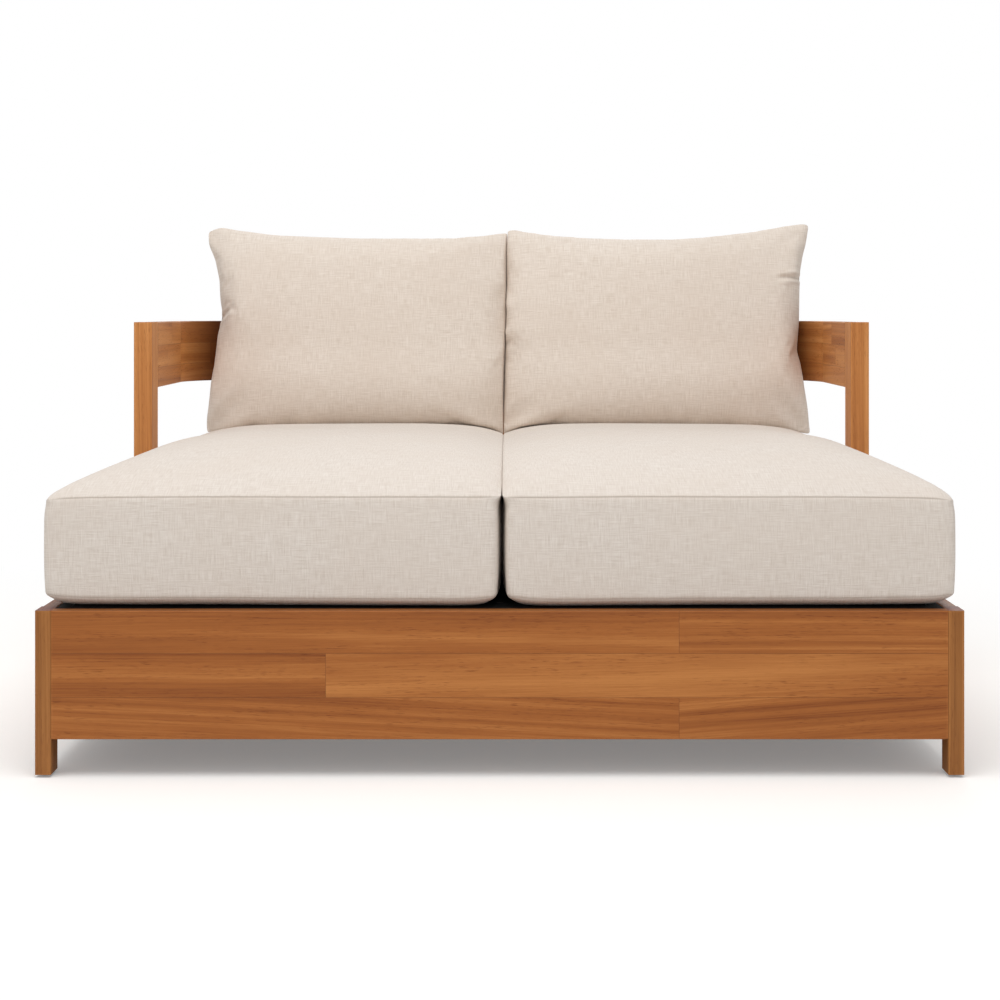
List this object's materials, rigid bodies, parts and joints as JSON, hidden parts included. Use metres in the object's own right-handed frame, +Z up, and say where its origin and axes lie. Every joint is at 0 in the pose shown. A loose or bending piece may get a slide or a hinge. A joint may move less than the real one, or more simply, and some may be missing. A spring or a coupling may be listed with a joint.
{
  "type": "outdoor daybed",
  "caption": "Outdoor daybed: boxed wooden base, wrap-around arm and back rail with rounded corners, deep seat cushions and leaning back pillows.",
  "frame": {"origin": "on the floor, under the middle of the bounding box", "axes": "+X to the right as seen from the front, along the daybed's width; the front faces -Y; +Z up"},
  "size_m": [1.45, 1.3, 0.9098],
  "materials": {
    "oiled_hardwood": "satin",
    "plain_wood": "matte",
    "beech_dowel": "matte",
    "black_cloth": "matte",
    "seat_linen": "matte",
    "pillow_linen": "matte",
    "foam": "matte",
    "zip_tape": "matte",
    "zip_metal": "satin",
    "zinc_steel": "satin",
    "yellow_steel": "satin",
    "black_plastic": "matte"
  },
  "bodies": {
    "frame": {"front_panel": "oiled_hardwood", "back_panel": "oiled_hardwood", "left_front_side_panel": "oiled_hardwood", "left_rear_side_panel": "oiled_hardwood", "right_front_side_panel": "oiled_hardwood", "right_rear_side_panel": "oiled_hardwood", "front_left_leg": "oiled_hardwood", "front_right_leg": "oiled_hardwood", "rear_left_leg": "oiled_hardwood", "rear_right_leg": "oiled_hardwood", "left_arm_post": "oiled_hardwood", "right_arm_post": "oiled_hardwood", "left_arm_rail": "oiled_hardwood", "right_arm_rail": "oiled_hardwood", "left_corner_bend": "oiled_hardwood", "right_corner_bend": "oiled_hardwood", "back_rail": "oiled_hardwood", "left_upright": "oiled_hardwood", "centre_upright": "oiled_hardwood", "right_upright": "oiled_hardwood", "centre_beam": "plain_wood", "front_centre_leg": "oiled_hardwood", "rear_centre_leg": "oiled_hardwood", "beam_cleats": "plain_wood", "left_front_ledger": "plain_wood", "left_rear_ledger": "plain_wood", "right_front_ledger": "plain_wood", "right_rear_ledger": "plain_wood", "slat_1": "plain_wood", "slat_2": "plain_wood", "slat_3": "plain_wood", "slat_4": "plain_wood", "slat_5": "plain_wood", "slat_6": "plain_wood", "slat_7": "plain_wood", "slat_8": "plain_wood", "slat_9": "plain_wood", "slat_10": "plain_wood", "deck_cloth": "black_cloth", "corner_blocks": "plain_wood", "leg_bolts": "zinc_steel", "barrel_nuts": "zinc_steel", "upright_bolts": "zinc_steel", "sleeve_nuts": "zinc_steel", "dowels": "beech_dowel", "wood_screws": "yellow_steel", "foot_glides": "black_plastic"},
    "left_seat": {"left_seat_cushion": "seat_linen", "left_seat_foam": "foam", "left_seat_zip": "zip_tape"},
    "right_seat": {"right_seat_cushion": "seat_linen", "right_seat_foam": "foam", "right_seat_zip": "zip_tape"},
    "left_slider": {"left_zip_slider": "zip_metal"},
    "right_slider": {"right_zip_slider": "zip_metal"},
    "left_pillow": {"left_back_cushion": "pillow_linen"},
    "right_pillow": {"right_back_cushion": "pillow_linen"}
  },
  "joints": [
    {"name": "left_seat_slide", "type": "slide", "parent": "frame", "child": "left_seat", "axis": [0, -1, 0], "range_m": [0, 0.55]},
    {"name": "right_seat_slide", "type": "slide", "parent": "frame", "child": "right_seat", "axis": [0, -1, 0], "range_m": [0, 0.55]},
    {"name": "left_pillow_lift", "type": "slide", "parent": "left_seat", "child": "left_pillow", "axis": [0, 0, 1], "range_m": [0, 0.3]},
    {"name": "right_pillow_lift", "type": "slide", "parent": "right_seat", "child": "right_pillow", "axis": [0, 0, 1], "range_m": [0, 0.3]},
    {"name": "left_zip_pull", "type": "slide", "parent": "left_seat", "child": "left_slider", "axis": [1, 0, 0], "range_m": [0, 0.546]},
    {"name": "right_zip_pull", "type": "slide", "parent": "right_seat", "child": "right_slider", "axis": [-1, 0, 0], "range_m": [0, 0.546]}
  ]
}
